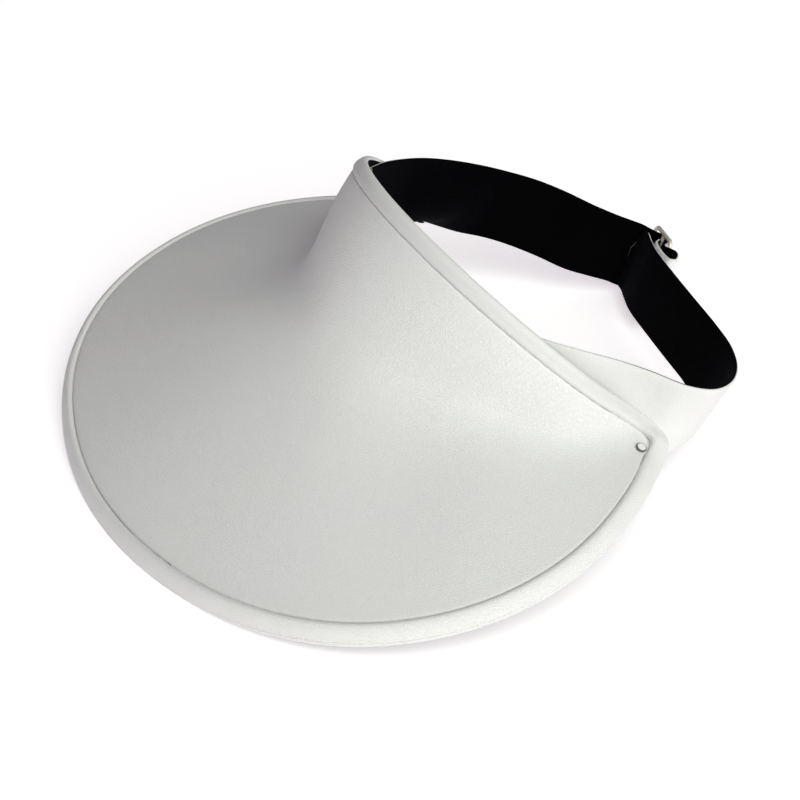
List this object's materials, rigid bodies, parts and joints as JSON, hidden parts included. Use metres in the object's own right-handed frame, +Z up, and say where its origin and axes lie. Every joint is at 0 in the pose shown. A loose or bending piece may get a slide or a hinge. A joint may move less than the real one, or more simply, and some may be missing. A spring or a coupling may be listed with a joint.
{
  "type": "wide brim sun visor",
  "caption": "Open-crown sun visor: a moulded panel flows from a wide rounded brim into a sloping crown wall, with a rolled edge border and a head strap closed by a metal slider.",
  "frame": {"origin": "centre of the bounding box's base, on the surface that the visor rests on", "axes": "+Z up, -Y towards the front of the brim, +X towards the wearer's left; the visor lies on the rim's front and on the slider at the back, as it would by itself"},
  "size_m": [0.2886, 0.2888, 0.1107],
  "materials": {
    "outer_fabric": "matt white fine knit, laminated and moulded",
    "inner_fabric": "matt black fine knit",
    "border_fabric": "matt white knit turned over a piped edge",
    "strap_fabric": "matt white knit outside, black knit towards the head",
    "slider_metal": "pearl nickel plate",
    "rivet_metal": "white enamel on a pressed cap"
  },
  "bodies": {
    "root": {"visor_panel": "outer_fabric", "panel_lining": "inner_fabric", "edge_border": "border_fabric", "strap_left": "strap_fabric", "strap_right": "strap_fabric", "slider_ring": "slider_metal", "rivet_left": "rivet_metal", "rivet_right": "rivet_metal"}
  },
  "joints": []
}
